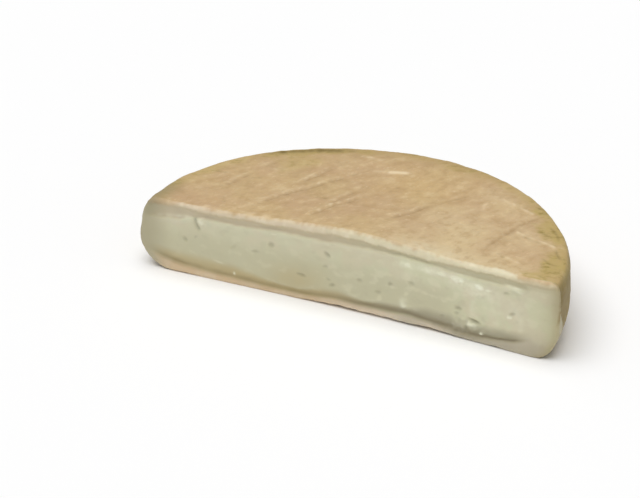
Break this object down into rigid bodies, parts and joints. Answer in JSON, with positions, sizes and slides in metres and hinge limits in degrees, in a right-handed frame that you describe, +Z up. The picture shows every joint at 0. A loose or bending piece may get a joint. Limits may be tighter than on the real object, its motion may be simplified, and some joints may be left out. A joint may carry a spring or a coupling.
{
  "type": "munster cheese half wheel",
  "caption": "Half wheel of soft washed-rind cheese lying flat, with rack marks on top and a pale, glossy cut face.",
  "frame": {"origin": "middle of the footprint, on the underside", "axes": "+X along the cut, towards the end with the squarer shoulder; +Y from the cut face to the back of the rim; +Z up"},
  "size_m": [0.1918, 0.0948, 0.0371],
  "materials": {
    "cheese": "satin"
  },
  "bodies": {
    "root": {"half_wheel": "cheese"}
  },
  "joints": []
}
